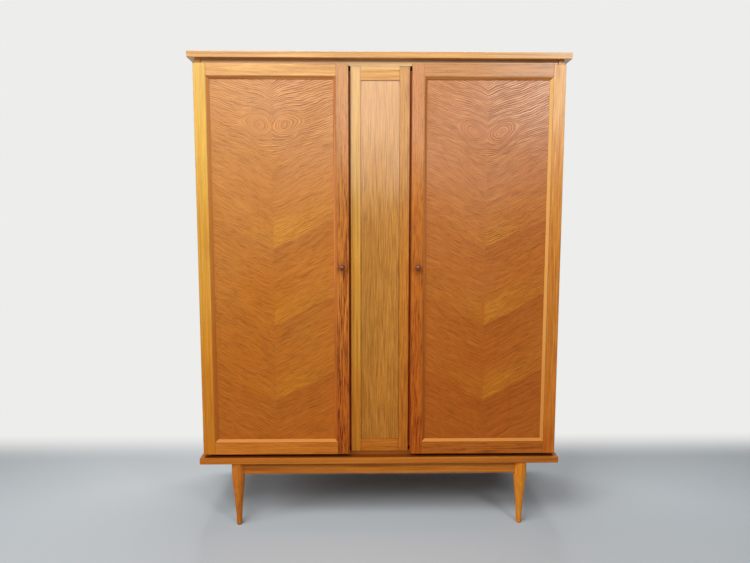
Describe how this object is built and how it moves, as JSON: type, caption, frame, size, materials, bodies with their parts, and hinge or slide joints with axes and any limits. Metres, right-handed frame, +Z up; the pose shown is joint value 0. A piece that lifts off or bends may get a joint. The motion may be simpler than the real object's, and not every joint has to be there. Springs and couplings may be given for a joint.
{
  "type": "two-door wardrobe",
  "caption": "Free-standing oak wardrobe with two framed veneer doors beside a fixed centre panel, overhanging top and base boards, turned tapered legs, shelves and a hanging rail.",
  "frame": {"origin": "on the floor, in the middle of the object's box", "axes": "+X to the right for someone facing the doors, +Y from the doors to the back, +Z up"},
  "size_m": [1.4, 0.5756, 1.8],
  "materials": {
    "oak_board": "satin varnished oak, grain along the width",
    "oak_side": "satin varnished oak veneer, upright grain",
    "oak_stile": "satin varnished solid oak, upright grain",
    "oak_lock_stile": "satin varnished solid oak, redder, with dark streaks",
    "oak_rail": "satin varnished solid oak, level grain",
    "oak_bead": "satin varnished oak bead",
    "door_veneer": "book-matched oak veneer, satin varnish",
    "centre_veneer": "straight-grained oak veneer, satin varnish",
    "oak_leg": "satin varnished turned oak",
    "oak_apron": "satin varnished solid oak, level grain",
    "knob_wood": "dark turned hardwood, polished",
    "inside_veneer": "pale oak veneer, thin matt varnish",
    "back_plywood": "bare plywood",
    "dowel_wood": "fluted beech dowel",
    "brass": "worn brass",
    "steel": "plated steel, slightly dulled",
    "catch_plastic": "ivory plastic",
    "glide_plastic": "dark brown plastic"
  },
  "bodies": {
    "carcass": {"top_board": "oak_board", "base_board": "oak_board", "left_side": "oak_side", "right_side": "oak_side", "centre_left_stile": "oak_stile", "centre_right_stile": "oak_stile", "centre_top_rail": "oak_rail", "centre_bottom_rail": "oak_rail", "carcass_top": "oak_rail", "carcass_bottom": "oak_rail", "centre_panel": "centre_veneer", "leg_front_left": "oak_leg", "leg_front_right": "oak_leg", "leg_back_left": "oak_leg", "leg_back_right": "oak_leg", "front_apron": "oak_apron", "back_apron": "oak_apron", "left_apron": "oak_apron", "right_apron": "oak_apron", "centre_partition": "inside_veneer", "shelf_1": "inside_veneer", "shelf_2": "inside_veneer", "shelf_3": "inside_veneer", "shelf_4": "inside_veneer", "hat_shelf": "inside_veneer", "left_back_panel": "back_plywood", "right_back_panel": "back_plywood", "carcass_dowels": "dowel_wood", "hinge_frame_leaves": "brass", "hinge_pins": "brass", "hardware_screws": "brass", "shelf_pins": "brass", "hanging_rail": "steel", "rail_sockets": "steel", "back_panel_nails": "steel", "carcass_screws": "steel", "door_catches": "catch_plastic", "foot_glides": "glide_plastic"},
    "left_door": {"left_door_hinge_stile": "oak_stile", "left_door_lock_stile": "oak_lock_stile", "left_door_top_rail": "oak_rail", "left_door_bottom_rail": "oak_rail", "left_door_panel": "door_veneer", "left_door_beads": "oak_bead", "left_knob": "knob_wood", "left_knob_screw": "brass", "left_door_hinge_leaves": "brass", "left_door_screws": "brass", "left_door_strike_plates": "steel"},
    "right_door": {"right_door_hinge_stile": "oak_stile", "right_door_lock_stile": "oak_lock_stile", "right_door_top_rail": "oak_rail", "right_door_bottom_rail": "oak_rail", "right_door_panel": "door_veneer", "right_door_beads": "oak_bead", "right_knob": "knob_wood", "right_knob_screw": "brass", "right_door_hinge_leaves": "brass", "right_door_screws": "brass", "right_door_strike_plates": "steel"}
  },
  "joints": [
    {"name": "left_door_hinge", "type": "hinge", "parent": "carcass", "child": "left_door", "pos_m": [-0.6815, -0.245, 1.026], "axis": [0, 0, -1], "range_deg": [0, 180]},
    {"name": "right_door_hinge", "type": "hinge", "parent": "carcass", "child": "right_door", "pos_m": [0.6815, -0.245, 1.026], "axis": [0, 0, 1], "range_deg": [0, 180]}
  ]
}
